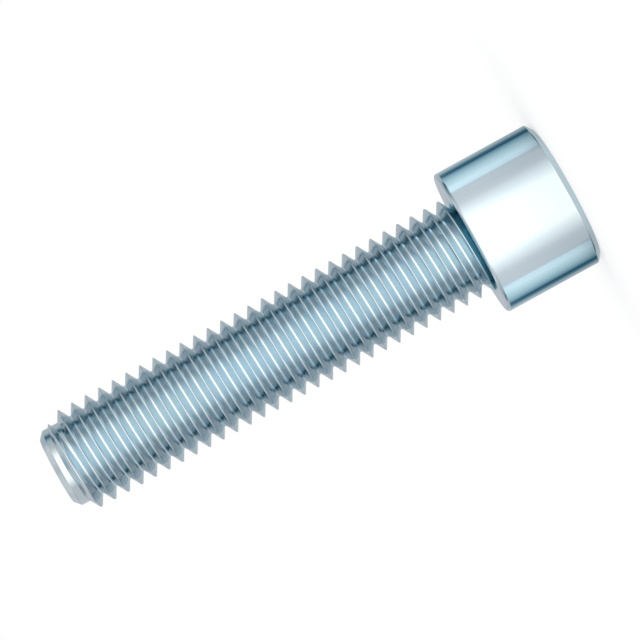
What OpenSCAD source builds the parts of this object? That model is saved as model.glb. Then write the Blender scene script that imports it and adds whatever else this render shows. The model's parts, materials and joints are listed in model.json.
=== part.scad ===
// Socket head cap screw, forged, broached and thread-rolled as one piece.
// It stands on its head: the origin is the middle of the head's flat top, which faces down,
// and +Z runs up the shank to the tip. Sizes are in millimetres.

/* [Head] */
// Diameter of the head
head_d = 17.7; // [16.5:0.05:19]
// Height of the head, from its flat top to the bearing face
head_h = 12.4; // [10.5:0.1:14]
// Radius of the rounded edge at the flat top
top_round = 0.9; // [0.3:0.1:1.2]
// Chamfer at the edge of the bearing face
seat_chamfer = 0.25; // [0.1:0.05:0.5]
// Height of the slight slope where the shank leaves the bearing face
neck_rise = 0.2; // [0.1:0.05:0.4]
// How far that slope reaches out past the crests
neck_reach = 0.15; // [0.1:0.05:0.5]

/* [Hex socket] */
// Width of the socket across its flats
socket_af = 10; // [8:0.25:11]
// Depth of the socket's flats, from the flat top
socket_depth = 6; // [4:0.25:7]
// Depth of the shallow cone below the flats
socket_dish = 1.2; // [0.5:0.1:1.5]
// Chamfer round the socket's mouth, outside its corners
socket_lead = 0.3; // [0.1:0.05:0.6]

/* [Thread] */
// Diameter over the crests
thread_d = 12; // [10:0.05:14]
// Rise of the right-hand thread in one turn
pitch = 1.75; // [1.25:0.05:2.5]
// Flat along each crest
crest_flat = 0.12; // [0.05:0.01:0.3]
// Flat along the root
root_flat = 0.13; // [0.05:0.01:0.3]
// Height of the first crest above the bearing face, on the +X side
first_crest = 0.94; // [0.6:0.02:1.6]
// Turns over which the last ridge sinks away
fade_turns = 0.5; // [0.3:0.1:1]

/* [Shank] */
// Length of the shank, from the bearing face to the tip
shank_len = 53.4; // [30:0.1:80]
// Plain end beyond the last ridge
plain_end = 1.5; // [1.2:0.1:4]
// Length of the chamfer at the tip
tip_chamfer_len = 0.7; // [0.3:0.05:1]
// Depth of the chamfer at the tip
tip_chamfer_depth = 0.78; // [0.3:0.01:1]

/* [Hidden] */
finish_colour = [0.74, 0.82, 0.87];

// Sides of the thread in one turn
turn_steps = 32;
// Half the angle between the thread's flanks, in degrees
flank_angle = 30;
// Turns of the thread buried in the head, where the first ridge starts
buried_turns = 2;
// Share of a full ridge's width that is left where its height is nothing
least_width = 0.1;
// Overlap of a cut past the face that it starts from
cut = 1;
// How far the neck's slope runs on inside the root
neck_sink = 0.1;

flank_run = (pitch - crest_flat - root_flat) / 2;
thread_depth = flank_run / tan(flank_angle);
crest_r = thread_d / 2;
root_r = crest_r - thread_depth;
tip_r = root_r - tip_chamfer_depth;
total_h = head_h + shank_len;
socket_corner_r = socket_af / 2 / cos(30);

// The thread is four rails wound up the shank, lowest first: the ridge's foot, both sides of
// its crest, and its foot again. A step is one place along them, turn_steps to a turn.
rails = 4;
ridge_end = total_h - plain_end;
first_ridge = head_h + first_crest - buried_turns * pitch;
steps = floor((ridge_end - first_ridge) / pitch * turn_steps);

function ridge_z(step) = first_ridge + pitch * step / turn_steps;
function ridge_share(step) = min(1, (steps - step) / turn_steps / fade_turns);
function foot_half(step) =
    crest_flat / 2 + flank_run * (least_width + (1 - least_width) * ridge_share(step));
function on_ring(step, r, z) =
    [r * cos(360 * step / turn_steps), r * sin(360 * step / turn_steps), z];
function rail_points(step) =
    let (
        z = ridge_z(step),
        top_r = root_r + thread_depth * ridge_share(step)
    )
    [
        on_ring(step, root_r, z - foot_half(step)),
        on_ring(step, top_r, z - crest_flat / 2),
        on_ring(step, top_r, z + crest_flat / 2),
        on_ring(step, root_r, z + foot_half(step))
    ];

// Ridge, root and plain end in one closed surface
module threaded_shank() {
    wound = [for (step = [0:steps]) each rail_points(step)];
    start_at = len(wound);
    edge_at = start_at + 1;
    tip_at = edge_at + turn_steps;
    last_turn = steps - turn_steps;
    points = concat(
        wound,
        [[0, 0, first_ridge + pitch / 2]],
        [for (i = [0:turn_steps - 1]) on_ring(last_turn + i, root_r, total_h - tip_chamfer_len)],
        [for (i = [0:turn_steps - 1]) on_ring(last_turn + i, tip_r, total_h)]
    );
    function at(step, rail) = step * rails + rail;
    function edge(i) = edge_at + i % turn_steps;
    function tip(i) = tip_at + i % turn_steps;
    foot = rails - 1;
    ridge_faces = [
        for (step = [0:steps - 1], rail = [0:rails - 2])
            each [
                [at(step, rail), at(step, rail + 1), at(step + 1, rail + 1)],
                [at(step, rail), at(step + 1, rail + 1), at(step + 1, rail)]
            ]
    ];
    root_faces = [
        for (step = [0:last_turn - 1])
            each [
                [at(step, foot), at(step + turn_steps, 0), at(step + turn_steps + 1, 0)],
                [at(step, foot), at(step + turn_steps + 1, 0), at(step + 1, foot)]
            ]
    ];
    start_faces = concat(
        [for (step = [0:turn_steps - 1]) [start_at, at(step, 0), at(step + 1, 0)]],
        [[start_at, at(turn_steps, 0), at(0, foot)]],
        [for (rail = [foot:-1:1]) [start_at, at(0, rail), at(0, rail - 1)]]
    );
    seam_face = concat(
        [at(last_turn + 1, foot), at(last_turn, foot)],
        [for (rail = [0:foot]) at(steps, rail)],
        [edge(0), edge(1)]
    );
    end_faces = concat(
        [seam_face],
        [
            for (i = [1:turn_steps - 1])
                [at(last_turn + i, foot), edge(i), edge(i + 1), at(last_turn + i + 1, foot)]
        ],
        [for (i = [0:turn_steps - 1]) [edge(i), tip(i), tip(i + 1), edge(i + 1)]],
        [[for (i = [turn_steps - 1:-1:0]) tip(i)]]
    );
    polyhedron(points, concat(ridge_faces, root_faces, start_faces, end_faces), convexity = 4);
}

module head_blank() {
    head_r = head_d / 2;
    rotate_extrude($fn = 96)
        union() {
            square([head_r - top_round, head_h]);
            polygon([
                [0, top_round],
                [head_r, top_round],
                [head_r, head_h - seat_chamfer],
                [head_r - seat_chamfer, head_h],
                [crest_r + neck_reach, head_h],
                [root_r - neck_sink, head_h + neck_rise],
                [0, head_h + neck_rise]
            ]);
            translate([head_r - top_round, top_round])
                circle(r = top_round, $fn = 48);
        }
}

module hex_socket() {
    mouth_r = socket_corner_r + socket_lead;
    translate([0, 0, -cut])
        cylinder(r = socket_corner_r, h = socket_depth + cut, $fn = 6);
    translate([0, 0, -cut])
        cylinder(r1 = mouth_r + cut, r2 = 0, h = mouth_r + cut, $fn = 96);
    translate([0, 0, socket_depth])
        cylinder(r1 = socket_af / 2, r2 = 0, h = socket_dish, $fn = 96);
}

module cap_screw() {
    color(finish_colour)
        union() {
            difference() {
                head_blank();
                hex_socket();
            }
            threaded_shank();
        }
}

cap_screw();
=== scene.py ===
import json
import math
import bpy
import numpy as np
from mathutils import Matrix, Vector


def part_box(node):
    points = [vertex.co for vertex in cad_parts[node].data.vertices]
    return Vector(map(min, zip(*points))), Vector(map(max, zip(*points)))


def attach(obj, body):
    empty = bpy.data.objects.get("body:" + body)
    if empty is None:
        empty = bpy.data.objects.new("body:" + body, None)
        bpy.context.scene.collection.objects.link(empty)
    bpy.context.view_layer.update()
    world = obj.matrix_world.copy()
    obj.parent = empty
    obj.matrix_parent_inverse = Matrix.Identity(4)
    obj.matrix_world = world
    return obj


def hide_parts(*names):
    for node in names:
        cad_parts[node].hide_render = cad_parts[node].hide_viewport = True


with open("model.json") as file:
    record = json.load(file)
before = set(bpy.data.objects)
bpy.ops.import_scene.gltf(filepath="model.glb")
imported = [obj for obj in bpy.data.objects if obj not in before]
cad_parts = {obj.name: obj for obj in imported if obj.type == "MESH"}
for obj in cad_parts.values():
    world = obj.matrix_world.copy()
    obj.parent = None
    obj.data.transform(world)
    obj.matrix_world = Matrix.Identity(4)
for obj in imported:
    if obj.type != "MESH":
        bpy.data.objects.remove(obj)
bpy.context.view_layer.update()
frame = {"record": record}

mm = 0.001   # the frame is in metres, and every size below is in millimetres
scene = bpy.context.scene


# One socket of a node tree. Plain operators on it add Math nodes, and add() adds any other node: its type,
# its settings and the values or links of its sockets.
class Wire:
    def __init__(self, tree, socket=None):
        self.tree = tree
        self.socket = socket

    def add(self, kind, settings=None, inputs=None, output=0):
        node = self.tree.nodes.new(kind)
        for name, value in (settings or {}).items():
            if name == "stops":
                self.fillRamp(node.color_ramp, value)
            else:
                setattr(node, name, value)
        for name, value in (inputs or {}).items():
            self.plug(value, node.inputs[name])
        return Wire(self.tree, node.outputs[output]) if node.outputs else node

    def plug(self, value, target):
        if isinstance(value, Wire):
            self.tree.links.new(value.socket, target)
        else:
            target.default_value = value

    def fillRamp(self, ramp, stops):
        while len(ramp.elements) < len(stops):
            ramp.elements.new(1.0)
        for element, (place, colour) in zip(ramp.elements, stops):
            element.position = place
            element.color = (*colour, 1.0)

    def other(self, output):
        return Wire(self.tree, self.socket.node.outputs[output])

    def maths(self, operation, *values):
        return self.add("ShaderNodeMath", {"operation": operation}, dict(enumerate(values)))

    def __add__(self, value):
        return self.maths("ADD", self, value)

    def __radd__(self, value):
        return self.maths("ADD", value, self)

    def __sub__(self, value):
        return self.maths("SUBTRACT", self, value)

    def __rsub__(self, value):
        return self.maths("SUBTRACT", value, self)

    def __mul__(self, value):
        return self.maths("MULTIPLY", self, value)

    def __rmul__(self, value):
        return self.maths("MULTIPLY", value, self)

    def __neg__(self):
        return self.maths("MULTIPLY", self, -1)

    # Rises smoothly from 0 at low to 1 at high
    def between(self, low, high):
        return self.add("ShaderNodeMapRange", {"interpolation_type": "SMOOTHSTEP"},
                        {"Value": self, "From Min": low, "From Max": high})

    # Rises from low to high, and falls again from later to last
    def within(self, low, high, later, last):
        return self.between(low, high) * (1 - self.between(later, last))


# A colour between two, by a share from 0 to 1
def blend(share, first, second):
    return share.add("ShaderNodeMix", {"data_type": "RGBA"},
                     {"Factor": share, 6: first, 7: second}, output=2)


# Joins a grid of points, rows by columns, into faces. Rows run along the profile and columns round the
# axis, so the face outward is the one to the right of the profile. The last column meets the first,
# shiftRows rows further on, because one turn of a helix ends a pitch higher than it began.
def gridFaces(rows, columns, shiftRows, start):
    row, column = np.meshgrid(np.arange(rows - 1), np.arange(columns), indexing="ij")
    wrapped = column == columns - 1
    nextRow = np.where(wrapped, row + shiftRows, row)
    nextColumn = np.where(wrapped, 0, column + 1)
    corners = [(row, column), (nextRow, nextColumn), (nextRow + 1, nextColumn), (row + 1, column)]
    faces = np.stack([start + r * columns + c for r, c in corners], axis=-1).reshape(-1, 4)
    return faces[(nextRow + 1 < rows).reshape(-1)]


# Makes one closed mesh of several grids: points that lie together become one, a face that has lost a
# corner becomes a triangle, and one that has lost more goes.
def closedMesh(name, grids, sharpAngle):
    points, faces, start = [], [], 0
    for place, shiftRows in grids:
        rows, columns = place.shape[:2]
        points.append(place.reshape(-1, 3))
        faces.append(gridFaces(rows, columns, shiftRows, start))
        start += rows * columns
    points, faces = np.concatenate(points), np.concatenate(faces)
    hair = 1e-5
    _, first, same = np.unique(np.round(points / hair).astype(np.int64), axis=0,
                               return_index=True, return_inverse=True)
    points, faces = points[first], same.reshape(-1)[faces]
    lost = faces == np.roll(faces, -1, axis=1)
    quads = faces[lost.sum(axis=1) == 0]
    clipped, gone = faces[lost.sum(axis=1) == 1], lost[lost.sum(axis=1) == 1]
    triangles = clipped[~gone].reshape(-1, 3)
    used, renumbered = np.unique(np.concatenate([quads.reshape(-1), triangles.reshape(-1)]),
                                 return_inverse=True)
    renumbered = renumbered.reshape(-1)
    quads, triangles = renumbered[:quads.size].reshape(-1, 4), renumbered[quads.size:].reshape(-1, 3)
    mesh = bpy.data.meshes.new(name)
    mesh.from_pydata((points[used] * mm).tolist(), [], quads.tolist() + triangles.tolist())
    mesh.shade_smooth()
    mesh.set_sharp_from_angle(angle=math.radians(sharpAngle))
    sides = np.sort(np.concatenate([np.stack([f, np.roll(f, -1, axis=1)], -1).reshape(-1, 2)
                                    for f in (quads, triangles)]), axis=1)
    odd = int((np.unique(sides, axis=0, return_counts=True)[1] != 2).sum())
    print(name, "triangles", 2 * len(quads) + len(triangles), "open edges", odd)
    piece = bpy.data.objects.new(name, mesh)
    scene.collection.objects.link(piece)
    return piece


# A profile of straight lines through corners (radius, height, rounding): each rounded corner is an arc
# that starts and ends rounding * tan(half its turn) from it. One row a hair outside each end of an arc
# keeps the straight part beside it straight to the light.
def roundedProfile(corners, arcSteps, guard):
    corner = np.array(corners, float)
    rows = [corner[:1, :2]]
    for before, here, after in zip(corner, corner[1:], corner[2:]):
        along = (here - before)[:2] / np.linalg.norm((here - before)[:2])
        away = (after - here)[:2] / np.linalg.norm((after - here)[:2])
        turn = np.arccos(np.clip(along @ away, -1, 1))
        inward = (away - (along @ away) * along) / np.sin(turn)
        reach = here[2] * np.tan(turn / 2)
        angle = np.linspace(0, turn, arcSteps + 1)[:, None]
        start = here[:2] - reach * along
        arc = start + here[2] * (np.sin(angle) * along + (1 - np.cos(angle)) * inward)
        rows += [[start - guard * along], arc, [arc[-1] + guard * away]]
    return np.concatenate(rows + [corner[-1:, :2]])


# Turns radii and heights into points round the axis: (r cos a, r sin a, z)
def aroundAxis(radius, height, angle):
    radius, height, angle = np.broadcast_arrays(radius, height, angle)
    return np.stack([radius * np.cos(angle), radius * np.sin(angle), height], axis=-1)


# The cap screw: what the frame knows of it, and what its surface needs besides
mount = {entry["name"]: entry for entry in frame["record"]["mounts"]}
screw = {
    "length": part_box("cap_screw")[1][2] / mm,
    "headRadius": mount["head_side"]["dims"]["r_mm"],
    "seat": mount["head_seat"]["pos_m"][2] / mm,        # height of the bearing face
    "crestRadius": mount["thread"]["dims"]["r_mm"],
    "ridgeEnd": mount["thread"]["pos_m"][2] / mm,       # height at which the last ridge has gone
    "socketDepth": mount["socket"]["dims"]["length_mm"],
    "socketWidth": 10.0,    # across its flats
    "socketLead": 0.3,      # chamfer at its mouth, outside its corners
    "socketDish": 1.2,      # depth of the cone in its floor
    "topSlope": (0.85, 0.65),   # width and height of the slope round the head's flat top
    "topRound": (0.5, 0.24),    # and the rounding at its inner and outer edge
    "seatRound": 0.4,       # rounded edge of the bearing face
    "neckReach": 0.15,      # the slope at the shank's foot, beyond the crests
    "neckRise": 0.2,        # and its height
    "neckRadius": 4.6,      # and where it would end inside the root
    "neckRound": 0.02,      # rounding where it leaves the bearing face
    "neckPasses": 20,       # times its height and the thread's radius are put into each other
    "pitch": 1.75,
    "firstCrest": 0.99,     # height of the first crest over the bearing face, on the +X side
    "crestRound": 0.1,      # rounding along the crest
    "crestRows": 4,         # rows on half of that round
    "rootFlat": 0.17,       # flat along the root
    "rootRound": 0.04,      # and the rounding at its edges
    "rootRows": 3,          # rows on each of those
    "fadeTurns": 0.35,      # turns over which the last ridge sinks away
    "leastWidth": 0.1,      # share of the ridge's width that is left there
    "tipChamferLength": 0.7,    # along the axis
    "tipChamferDepth": 0.78,    # and inwards
    "tipRound": 0.12,           # rounding at both its edges
    "tipMargin": 0.3,       # the thread's surface ends this far before the chamfer
    "columns": 144,         # points round the axis, a multiple of the socket's six sides
    "arcSteps": 8,          # steps along each rounded edge
    "guard": 0.04,          # distance from an arc to the row that keeps its neighbour straight
    "spareTurns": 3,        # turns of the thread that start below the bearing face
    "sharpAngle": 35,       # degrees past which an edge is drawn sharp
}
flank = math.radians(30)    # half the angle between the thread's flanks
angles = np.arange(screw["columns"]) * 2 * np.pi / screw["columns"]
rootRadius = (screw["crestRadius"] + screw["crestRound"] + screw["rootRound"]
              - (screw["pitch"] - screw["rootFlat"]) / 2 / math.tan(flank))


# Radius of the thread at a distance along the axis from its crest: a round crest, a straight flank
# that falls by 1 / tan(30 degrees), a small round and the flat root
def ridgeRadius(distance):
    distance = np.abs(distance)
    toRoot = np.maximum((screw["pitch"] - screw["rootFlat"]) / 2 - distance, 0)
    crestRound, rootRound = screw["crestRound"], screw["rootRound"]
    crest = screw["crestRadius"] - crestRound + np.sqrt(np.maximum(crestRound ** 2 - distance ** 2, 0))
    root = rootRadius + rootRound - np.sqrt(np.maximum(rootRound ** 2 - toRoot ** 2, 0))
    straight = screw["crestRadius"] + crestRound - distance / math.tan(flank)
    onCrest = distance < crestRound * math.cos(flank)
    onRoot = toRoot < rootRound * math.cos(flank)
    return np.where(onCrest, crest, np.where(onRoot, root, straight))


# Distances from the crest at which a pitch has its rows: closer together on the two rounds, each of
# which turns by 90 degrees less the flank's own angle
def ridgeRows():
    turn = math.pi / 2 - flank
    crest = screw["crestRound"] * np.sin(np.linspace(0, turn, screw["crestRows"]))
    rootEdge = (screw["pitch"] - screw["rootFlat"]) / 2
    root = rootEdge - screw["rootRound"] * np.sin(np.linspace(turn, 0, screw["rootRows"]))
    straight = [crest[-1] + screw["guard"] / 2, root[0] - screw["guard"]]
    half = np.concatenate([crest, straight, root, [rootEdge + screw["guard"] / 2]])
    return np.concatenate([[-screw["pitch"] / 2], -half[:0:-1], half])


# Foot of the shank, where the thread meets the neck's slope: each is put into the other until they agree
def neckRing():
    outer = screw["crestRadius"] + screw["neckReach"]
    slope = screw["neckRise"] / (outer - screw["neckRadius"])
    crest = screw["seat"] + screw["firstCrest"] + screw["pitch"] * angles / (2 * np.pi)
    height = np.full_like(angles, screw["seat"])
    for _ in range(screw["neckPasses"]):
        distance = (height - crest + screw["pitch"] / 2) % screw["pitch"] - screw["pitch"] / 2
        radius = ridgeRadius(distance)
        height = screw["seat"] + slope * (outer - radius)
    return radius, height


# The thread: a crest climbs one pitch in a turn, so that its height is the turn count times the pitch,
# and rows lie at fixed distances from it. Towards the end both the ridge's height over the root and its
# width shrink with the share that is left. Rows below the neck's ring or above the tip's edge stop there.
def shankGrid(tipEdge):
    pitch, offsets = screw["pitch"], ridgeRows()[None, :, None]
    turns = np.arange(-screw["spareTurns"], math.ceil((screw["length"] - screw["seat"]) / pitch) + 2)
    place = turns[:, None, None] + angles / (2 * np.pi)
    lastTurn = (screw["ridgeEnd"] - screw["seat"] - screw["firstCrest"]) / pitch
    share = np.clip((lastTurn - place) / screw["fadeTurns"], 0, 1)
    width = screw["leastWidth"] + (1 - screw["leastWidth"]) * share
    foot = (pitch - screw["rootFlat"]) / 2 - screw["rootRound"] * math.cos(flank)
    beyond = (np.abs(offsets) - foot) / (pitch / 2 - foot)
    spread = np.where(beyond > 0, foot * width + beyond * (pitch / 2 - foot * width),
                      np.abs(offsets) * width) * np.sign(offsets)
    height = screw["seat"] + screw["firstCrest"] + pitch * place + spread
    radius = rootRadius + share * (ridgeRadius(offsets) - rootRadius)
    neckRadius, neckHeight = neckRing()
    radius = np.where(height < neckHeight, neckRadius, radius)
    height = np.clip(height, neckHeight, tipEdge)
    flat = (-1, screw["columns"])
    return aroundAxis(radius.reshape(flat), height.reshape(flat), angles)


# The head, along its profile from the middle of the socket's floor to the shank: the hexagon's radius
# is half its width over the cosine of the angle from the nearest flat's middle
def headGrid():
    hexagon = screw["socketWidth"] / 2 / np.cos(angles % (np.pi / 3) - np.pi / 6)
    mouth = screw["socketWidth"] / 2 / math.cos(np.pi / 6) + screw["socketLead"]
    depth, seat = screw["socketDepth"], screw["seat"]
    level = np.ones_like(angles)
    inner = [
        (0 * level, (depth + screw["socketDish"]) * level),
        (screw["socketWidth"] / 2 * level, depth * level),
        (hexagon, depth * level),
        (hexagon, mouth - hexagon),
        (mouth * level, 0 * level),
    ]
    outer = screw["crestRadius"] + screw["neckReach"]
    slope = screw["neckRise"] / (outer - screw["neckRadius"])
    profile = roundedProfile([
        (mouth + screw["guard"], 0, 0),
        (screw["headRadius"] - screw["topSlope"][0], 0, screw["topRound"][0]),
        (screw["headRadius"], screw["topSlope"][1], screw["topRound"][1]),
        (screw["headRadius"], seat, screw["seatRound"]),
        (outer, seat, screw["neckRound"]),
        (outer - 2 * screw["guard"], seat + 2 * screw["guard"] * slope, 0),
    ], screw["arcSteps"], screw["guard"])
    radius = np.stack([r for r, _ in inner] + [r * level for r in profile[:, 0]] + [neckRing()[0]])
    height = np.stack([z for _, z in inner] + [z * level for z in profile[:, 1]] + [neckRing()[1]])
    return aroundAxis(radius, height, angles)


# The plain end, along its profile: the root's radius, a chamfer with rounded edges and the flat tip
def tipGrid(tipEdge):
    profile = roundedProfile([
        (rootRadius, tipEdge, 0),
        (rootRadius, screw["length"] - screw["tipChamferLength"], screw["tipRound"]),
        (rootRadius - screw["tipChamferDepth"], screw["length"], screw["tipRound"]),
        (0, screw["length"], 0),
    ], screw["arcSteps"], screw["guard"])
    return aroundAxis(profile[:, :1], profile[:, 1:], angles)


def makeScrew():
    tipEdge = screw["length"] - screw["tipChamferLength"] - screw["tipMargin"]
    grids = [(headGrid(), 0), (shankGrid(tipEdge), len(ridgeRows())), (tipGrid(tipEdge), 0)]
    return closedMesh("capScrew", grids, screw["sharpAngle"])


print("screw")
capScrew = makeScrew()
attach(capScrew, "root")
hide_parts("cap_screw")

# Bright zinc plate: a clean metal mirror with the faint blue of its finish, and painted shade, a darker
# blue base colour, at the shank's foot in the crease under the head
plate = {
    "colour": (0.56, 0.67, 0.73),
    "blueTint": (0.55, 0.67, 0.74),
    "neckColour": (0.38, 0.575, 0.645),
    "neckHeight": (-0.1, 0, 0.3, 0.55),     # over the bearing face: where the painted shade starts and ends
    "neckReach": (6.1, 6.6),        # and the radius over which it ends
    "tint": {"Scale": 160, "Detail": 3.0},      # clouds of tint in one metre
    "tintShare": (0.35, 0.65),      # noise over which one tint gives way to the other
    "roughness": 0.05,
    "roughnessRange": 0.01,
    "grain": {"Scale": 2600, "Detail": 2.0},    # grains in one metre, over which it varies
    "waves": {"Scale": 320, "Detail": 1.0},     # waves in the plate in one metre
    "waveHeight": 0.0000003,        # in metres
}


def makePlate():
    material = bpy.data.materials.new("zincPlate")
    material.use_nodes = True
    tree = material.node_tree
    tree.nodes.clear()
    start = Wire(tree)
    place = start.add("ShaderNodeTexCoord", output="Object")
    clouds = start.add("ShaderNodeTexNoise", {}, {"Vector": place, **plate["tint"]})
    grain = start.add("ShaderNodeTexNoise", {}, {"Vector": place, **plate["grain"]})
    waves = start.add("ShaderNodeTexNoise", {}, {"Vector": place, **plate["waves"]})
    bump = start.add("ShaderNodeBump", {}, {"Height": waves, "Distance": plate["waveHeight"]})
    x = start.add("ShaderNodeSeparateXYZ", {}, {0: place}, output="X")
    radius = start.maths("SQRT", x * x + x.other("Y") * x.other("Y")) * (1 / mm)
    height = x.other("Z") * (1 / mm) - screw["seat"]
    # Painted shade: the base colour darkens where the shank meets the bearing face, in the crease under
    # the head
    inNeckShade = height.within(*plate["neckHeight"]) * (1 - radius.between(*plate["neckReach"]))
    clean = blend(clouds.between(*plate["tintShare"]), (*plate["colour"], 1), (*plate["blueTint"], 1))
    surface = start.add("ShaderNodeBsdfPrincipled", {}, {
        "Base Color": blend(inNeckShade, clean, (*plate["neckColour"], 1)),
        "Metallic": 1.0,
        "Roughness": plate["roughness"] + plate["roughnessRange"] * (grain - 0.5),
        "Normal": bump,
    })
    start.add("ShaderNodeOutputMaterial", {}, {"Surface": surface})
    return material


print("finish")
capScrew.data.materials.append(makePlate())

# Floor: pale, and white to the camera where nothing shades it
floor = {
    "halfWidth": 1.0,       # in metres
    "colour": (0.5, 0.5, 0.5, 1),
    "roughness": 0.9,
    "lift": (0.53, 0.53, 0.53, 1),      # what it gives the camera by itself
    "none": (0, 0, 0, 1),               # and everything else
}


def makeFloor():
    across = np.array([-1, 1]) * floor["halfWidth"]
    x, y = np.meshgrid(across, across)
    corners = np.stack([x, y, 0 * x], axis=-1).reshape(-1, 3)
    mesh = bpy.data.meshes.new("floor")
    mesh.from_pydata(corners.tolist(), [], [(0, 1, 3, 2)])
    material = bpy.data.materials.new("paleFloor")
    material.use_nodes = True
    material.node_tree.nodes.clear()
    start = Wire(material.node_tree)
    seen = start.add("ShaderNodeLightPath", output="Is Camera Ray")
    surface = start.add("ShaderNodeBsdfPrincipled", {}, {
        "Base Color": floor["colour"],
        "Roughness": floor["roughness"],
        "Specular IOR Level": 0.0,
        "Emission Color": blend(seen, floor["none"], floor["lift"]),
        "Emission Strength": 1.0,
    })
    start.add("ShaderNodeOutputMaterial", {}, {"Surface": surface})
    mesh.materials.append(material)
    plane = bpy.data.objects.new("floor", mesh)
    scene.collection.objects.link(plane)
    plane.visible_glossy = False    # the studio below shows in the metal instead
    return plane


print("floor")
makeFloor()

# Studio, by the angle round the screw from straight in front: a white panel that fades to grey flats, a
# blue-black gap, and a pale wall behind. The panel's core is less bright higher up and lower down, the
# gap is darker a little off eye level, and on the left it opens where the tip mirrors it. A low band holds
# the strips that the head mirrors, with their dimmer foot, and the right one glows on above it. Over all
# that are a ceiling and a darker patch overhead, and below it the ground, which begins lower on the left.
studio = {
    "strength": 2.5,        # a ramp's stop holds no more than 1, so the light is kept as a share of this
    "walls": [              # angle from the front in degrees, and the colour there
        (0, (2.15, 1.95, 1.78)),
        (24, (1.93, 1.75, 1.61)),
        (40, (1.53, 1.4, 1.31)),
        (56, (0.96, 0.91, 0.87)),
        (64, (0.77, 0.75, 0.72)),
        (76, (0.67, 0.67, 0.66)),
        (92, (0.5, 0.6, 0.64)),
        (103, (0.14, 0.26, 0.31)),
        (107, (0.05, 0.16, 0.21)),
        (111, (0.1, 0.2, 0.25)),
        (127, (0.6, 0.62, 0.63)),
        (180, (0.53, 0.57, 0.6)),
    ],
    "strips": [             # the same within the low band
        (0, (1.76, 1.75, 1.5)),
        (30, (1.75, 1.65, 1.48)),
        (45, (1.31, 1.25, 1.22)),
        (61, (0.9, 0.85, 0.85)),
        (70, (0.83, 0.79, 0.79)),
        (85.5, (0.79, 0.79, 0.8)),
        (88.5, (0.95, 1.08, 1.12)),
        (97, (0.97, 1.1, 1.13)),
        (115, (0.56, 0.73, 0.77)),
        (126, (0.27, 0.42, 0.5)),
        (133, (0.02, 0.11, 0.17)),
        (140, (0.07, 0.17, 0.22)),
        (152, (0.4, 0.48, 0.52)),
        (180, (0.55, 0.58, 0.62)),
    ],
    "panelHeight": (5, 18),     # degrees off eye level over which the panel's core dims
    "dimPanel": (1.5, 1.38, 1.32),
    "opening": (0.76, 0.73, 0.72),
    "openingHeight": (1, 2, 5, 6),      # elevation, in degrees
    "openingAbove": (18, 20),           # and it is there again from here up
    "deep": 0.5,                # how much darker the gap is a little off eye level
    "deepHeight": (4, 11, 19, 24),
    "deepAngle": (101, 106, 117, 124),  # angle round the screw, in degrees
    "shade": 0.3,               # how much dimmer the walls at the sides are, high up and low down
    "shadeHeight": (8, 36),
    "sideAngle": (76, 90, 122, 140),    # angles over which the sides begin and end
    "gapLeast": (0.2, 0.28, 0.31),      # and how dark they are at most
    "gapHeight": (12, 18),      # from here up
    "glowHeight": (-6.1, -5.6, -3.4, -0.8),     # the right strip's glow begins and ends over these
    "glowAngle": (83, 86, 97, 103),
    "bandTop": -3.55,           # elevation of the band's upper edge
    "bandFeet": (-5.8, -6.4),   # and of its lower edge, before the panel and at the sides
    "feetAngle": (50, 59),      # where one foot gives way to the other
    "bandEdges": (0.08, 0.3),   # half of each edge's softness, at its top and foot
    "bandFade": 0.2,            # how much dimmer it is a degree lower, down to
    "bandLeast": 0.88,
    "stripEnd": (-5.22, -5.11),     # elevation over which a strip dims at its foot
    "stripLeast": 0.5,          # and what is left of it
    "ceiling": (1.25, 1.15, 1.08),
    "ceilingBack": (0.74, 0.72, 0.72),
    "ceilingHeight": (38, 54),
    "overhead": (0.4, 0.5, 0.56),   # the darker patch over the front and the sides
    "overheadHeight": (52, 62),
    "overheadAngle": (108, 135),    # angle over which it ends
    "ground": (0.87, 0.88, 0.89),
    "groundBack": (0.8, 0.85, 0.86),
    "groundHeight": (25, 55),   # degrees below the horizon over which the ground begins
    "backAngle": (59, 180),     # angle over which the ceiling and the ground turn to their back colour
    "leftFall": 12,             # how many degrees lower the ground begins on the left
    "leftStart": (-0.3, 0.3),   # how far to the left that change reaches, as a share of all the way
    "sideStart": (0.1, 0.3),    # and how far to a side the opening or the glow starts
    "fill": 1.0,                # what a matt surface gets from every side
}


# A colour of the studio, as the share of its strength that a node holds
def asShare(colour):
    return (*[part / studio["strength"] for part in colour], 1)


# Colours round the screw, given at angles in degrees
def rampColour(name, angle):
    stops = [(place / 180, asShare(colour)[:3]) for place, colour in studio[name]]
    return angle.add("ShaderNodeValToRGB", {"stops": stops}, {"Fac": angle * (1 / 180)})


# The one of two colours that is more, or less, in each of its three parts
def either(operation, wire, colour):
    other = colour if isinstance(colour, Wire) else asShare(colour)[:3]
    return wire.add("ShaderNodeVectorMath", {"operation": operation}, {0: wire, 1: other})


# A colour times a number
def dimmed(colour, factor):
    return colour.add("ShaderNodeVectorMath", {"operation": "SCALE"}, {0: colour, "Scale": factor})


# Panel and gap: never brighter than the dim panel off eye level, never darker than the opening where that
# is, and times 1 less what the deep part and the shade take
def makeWalls(walls, left, angle, elevation):
    offLevel = elevation.maths("ABSOLUTE", elevation)
    dimPanel = either("MINIMUM", walls, studio["dimPanel"])
    walls = blend(offLevel.between(*studio["panelHeight"]), walls, dimPanel)
    opened = elevation.within(*studio["openingHeight"]) + elevation.between(*studio["openingAbove"])
    opened = opened * left.between(*studio["sideStart"])
    walls = blend(opened, walls, either("MAXIMUM", walls, studio["opening"]))
    deep = offLevel.within(*studio["deepHeight"]) * angle.within(*studio["deepAngle"])
    walls = dimmed(walls, 1 - studio["deep"] * deep)
    shade = offLevel.between(*studio["shadeHeight"]) * angle.within(*studio["sideAngle"])
    walls = dimmed(walls, 1 - studio["shade"] * shade)
    gapLeast = either("MAXIMUM", walls, studio["gapLeast"])
    return blend(elevation.between(*studio["gapHeight"]), walls, gapLeast)


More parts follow.
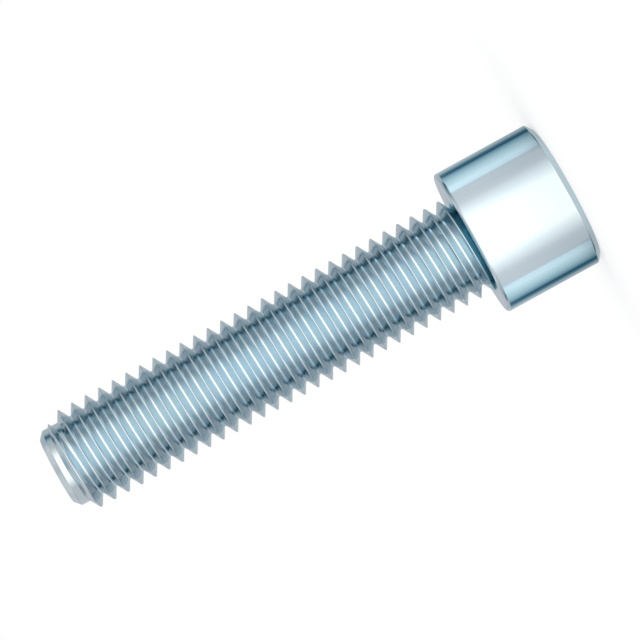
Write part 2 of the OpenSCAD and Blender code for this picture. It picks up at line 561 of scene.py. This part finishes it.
# Low band: the strips' colours between its foot and its top, times 1 less the fade for each degree below
# its middle, and dimmer still at a strip's foot. The right strip glows on above the band.
def addBand(walls, strips, right, angle, elevation):
    glow = elevation.within(*studio["glowHeight"]) * angle.within(*studio["glowAngle"])
    glow = glow * right.between(*studio["sideStart"])
    walls = blend(glow, walls, either("MAXIMUM", walls, strips))
    top, foot, sideFoot = studio["bandTop"], *studio["bandFeet"]
    topEdge, footEdge = studio["bandEdges"]
    aboveFoot = elevation.maths(
        "MAXIMUM", elevation.between(foot - footEdge, foot + footEdge),
        elevation.between(sideFoot - footEdge, sideFoot + footEdge) * angle.between(*studio["feetAngle"]))
    fade = elevation.maths("MAXIMUM", 1 + studio["bandFade"] * (elevation - (top + foot) / 2),
                           studio["bandLeast"])
    ended = (1 - elevation.between(*studio["stripEnd"])) * angle.within(*studio["sideAngle"])
    band = dimmed(strips, fade * (1 - (1 - studio["stripLeast"]) * ended))
    return blend(aboveFoot * (1 - elevation.between(top - topEdge, top + topEdge)), walls, band)


# Ceiling, overhead and ground, each blended in by its elevation
def addEnds(walls, left, angle, elevation):
    behind = angle.between(*studio["backAngle"])
    ceiling = blend(behind, asShare(studio["ceiling"]), asShare(studio["ceilingBack"]))
    walls = blend(elevation.between(*studio["ceilingHeight"]), walls, ceiling)
    overhead = elevation.between(*studio["overheadHeight"]) * (1 - angle.between(*studio["overheadAngle"]))
    walls = blend(overhead, walls, asShare(studio["overhead"]))
    ground = blend(behind, asShare(studio["ground"]), asShare(studio["groundBack"]))
    depth = -elevation - studio["leftFall"] * left.between(*studio["leftStart"])
    return blend(depth.between(*studio["groundHeight"]), walls, ground)


# The world: white to the camera, the studio in what mirrors it, and plain fill light for the rest
def makeStudio():
    world = bpy.data.worlds.new("studio")
    scene.world = world
    world.use_nodes = True
    world.node_tree.nodes.clear()
    world.cycles.sampling_method = "NONE"
    start = Wire(world.node_tree)
    towards = start.add("ShaderNodeTexCoord", output="Generated")
    right = start.add("ShaderNodeSeparateXYZ", {}, {0: towards}, output="X")
    left, front = -right, -right.other("Y")
    angle = start.maths("ARCTAN2", start.maths("ABSOLUTE", right), front) * (180 / math.pi)
    elevation = start.maths("ARCSINE", right.other("Z")) * (180 / math.pi)
    walls = makeWalls(rampColour("walls", angle), left, angle, elevation)
    walls = addBand(walls, rampColour("strips", angle), right, angle, elevation)
    mirrored = addEnds(walls, left, angle, elevation)
    rays = start.add("ShaderNodeLightPath", output="Is Camera Ray")
    shiny = start.maths("MAXIMUM", rays.other("Is Glossy Ray"), rays.other("Is Transmission Ray"))
    fill, white = asShare([studio["fill"]] * 3), asShare([1, 1, 1])
    light = start.add("ShaderNodeBackground", {}, {
        "Color": blend(rays, blend(shiny, fill, mirrored), white), "Strength": studio["strength"]})
    start.add("ShaderNodeOutputWorld", {}, {"Surface": light})


print("studio")
makeStudio()
scene.view_settings.view_transform = "Standard"

# Camera: level with the shank's middle, and turned so that the head is up to the right
camera = {
    "place": (0.64, -435, 39.9),
    "aim": (0.64, 0, 31.49),
    "roll": -118.78,    # in degrees
    "lens": 216,
    "sensor": 36,
    "nearest": 10,      # nothing nearer than this is seen
}


def makeCamera():
    data = bpy.data.cameras.new("camera")
    data.lens, data.sensor_width = camera["lens"], camera["sensor"]
    data.clip_start = camera["nearest"] * mm
    eye = bpy.data.objects.new("camera", data)
    scene.collection.objects.link(eye)
    place, aim = Vector(camera["place"]) * mm, Vector(camera["aim"]) * mm
    turned = (aim - place).to_track_quat("-Z", "Y").to_matrix().to_4x4()
    roll = Matrix.Rotation(math.radians(camera["roll"]), 4, "Z")
    eye.matrix_world = Matrix.Translation(place) @ turned @ roll
    scene.camera = eye


print("camera")
makeCamera()
